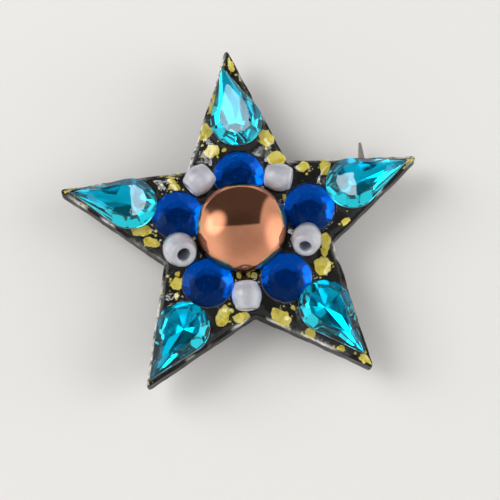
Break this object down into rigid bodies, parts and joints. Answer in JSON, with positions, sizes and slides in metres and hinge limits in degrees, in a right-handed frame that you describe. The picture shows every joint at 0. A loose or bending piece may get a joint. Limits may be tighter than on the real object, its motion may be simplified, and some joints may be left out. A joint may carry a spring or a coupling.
{
  "type": "star brooch pin",
  "caption": "Star-shaped brooch of black clay set with faceted pear and round glass stones, glass beads and a polished dome, with a hinged bar pin and rolling catch behind.",
  "frame": {"origin": "under the middle of the brooch, on the plane that its catch and pin would touch when it lies on its back", "axes": "+Z out of the decorated face, +Y towards the top tip of the star, +X to the right as the face is seen"},
  "size_m": [0.055, 0.0526, 0.0126],
  "materials": {
    "black_clay": "hard baked clay, black, slightly uneven",
    "clear_gloss": "clear brushed gloss coat",
    "gold_leaf": "metallic gold dabs",
    "copper_plate": "mirror-polished copper plating",
    "aqua_glass": "faceted aqua glass",
    "cobalt_glass": "faceted cobalt blue glass",
    "mirror_foil": "silvered foil backing",
    "pearl_glass": "pearly grey-white glass with a soft lustre",
    "plated_steel": "nickel-plated pressed steel",
    "spring_steel": "bright drawn wire",
    "glue": "cured epoxy, slightly yellow"
  },
  "bodies": {
    "brooch": {"bead_1": "pearl_glass", "bead_2": "pearl_glass", "bead_3": "pearl_glass", "bead_4": "pearl_glass", "bead_5": "pearl_glass", "catch_housing": "plated_steel", "clear_coat": "clear_gloss", "dome_pad": "black_clay", "dome_shell": "copper_plate", "gold_dabs": "gold_leaf", "hinge_rivet": "plated_steel", "pear_foil_1": "mirror_foil", "pear_foil_2": "mirror_foil", "pear_foil_3": "mirror_foil", "pear_foil_4": "mirror_foil", "pear_foil_5": "mirror_foil", "pear_stone_1": "aqua_glass", "pear_stone_2": "aqua_glass", "pear_stone_3": "aqua_glass", "pear_stone_4": "aqua_glass", "pear_stone_5": "aqua_glass", "pin_bar": "plated_steel", "pin_glue": "glue", "round_foil_1": "mirror_foil", "round_foil_2": "mirror_foil", "round_foil_3": "mirror_foil", "round_foil_4": "mirror_foil", "round_foil_5": "mirror_foil", "round_stone_1": "cobalt_glass", "round_stone_2": "cobalt_glass", "round_stone_3": "cobalt_glass", "round_stone_4": "cobalt_glass", "round_stone_5": "cobalt_glass", "star_base": "black_clay"},
    "stem": {"pin_stem": "spring_steel"},
    "catch": {"catch_lever": "plated_steel"}
  },
  "joints": [
    {"name": "stem_hinge", "type": "hinge", "parent": "brooch", "child": "stem", "pos_m": [-0.01503, 0.00402, 0.00134], "axis": [0, 1, 0], "range_deg": [0, 75]},
    {"name": "catch_roll", "type": "hinge", "parent": "brooch", "child": "catch", "pos_m": [0.01957, 0.00402, 0.00134], "axis": [-1, 0, 0], "range_deg": [0, 150]}
  ]
}
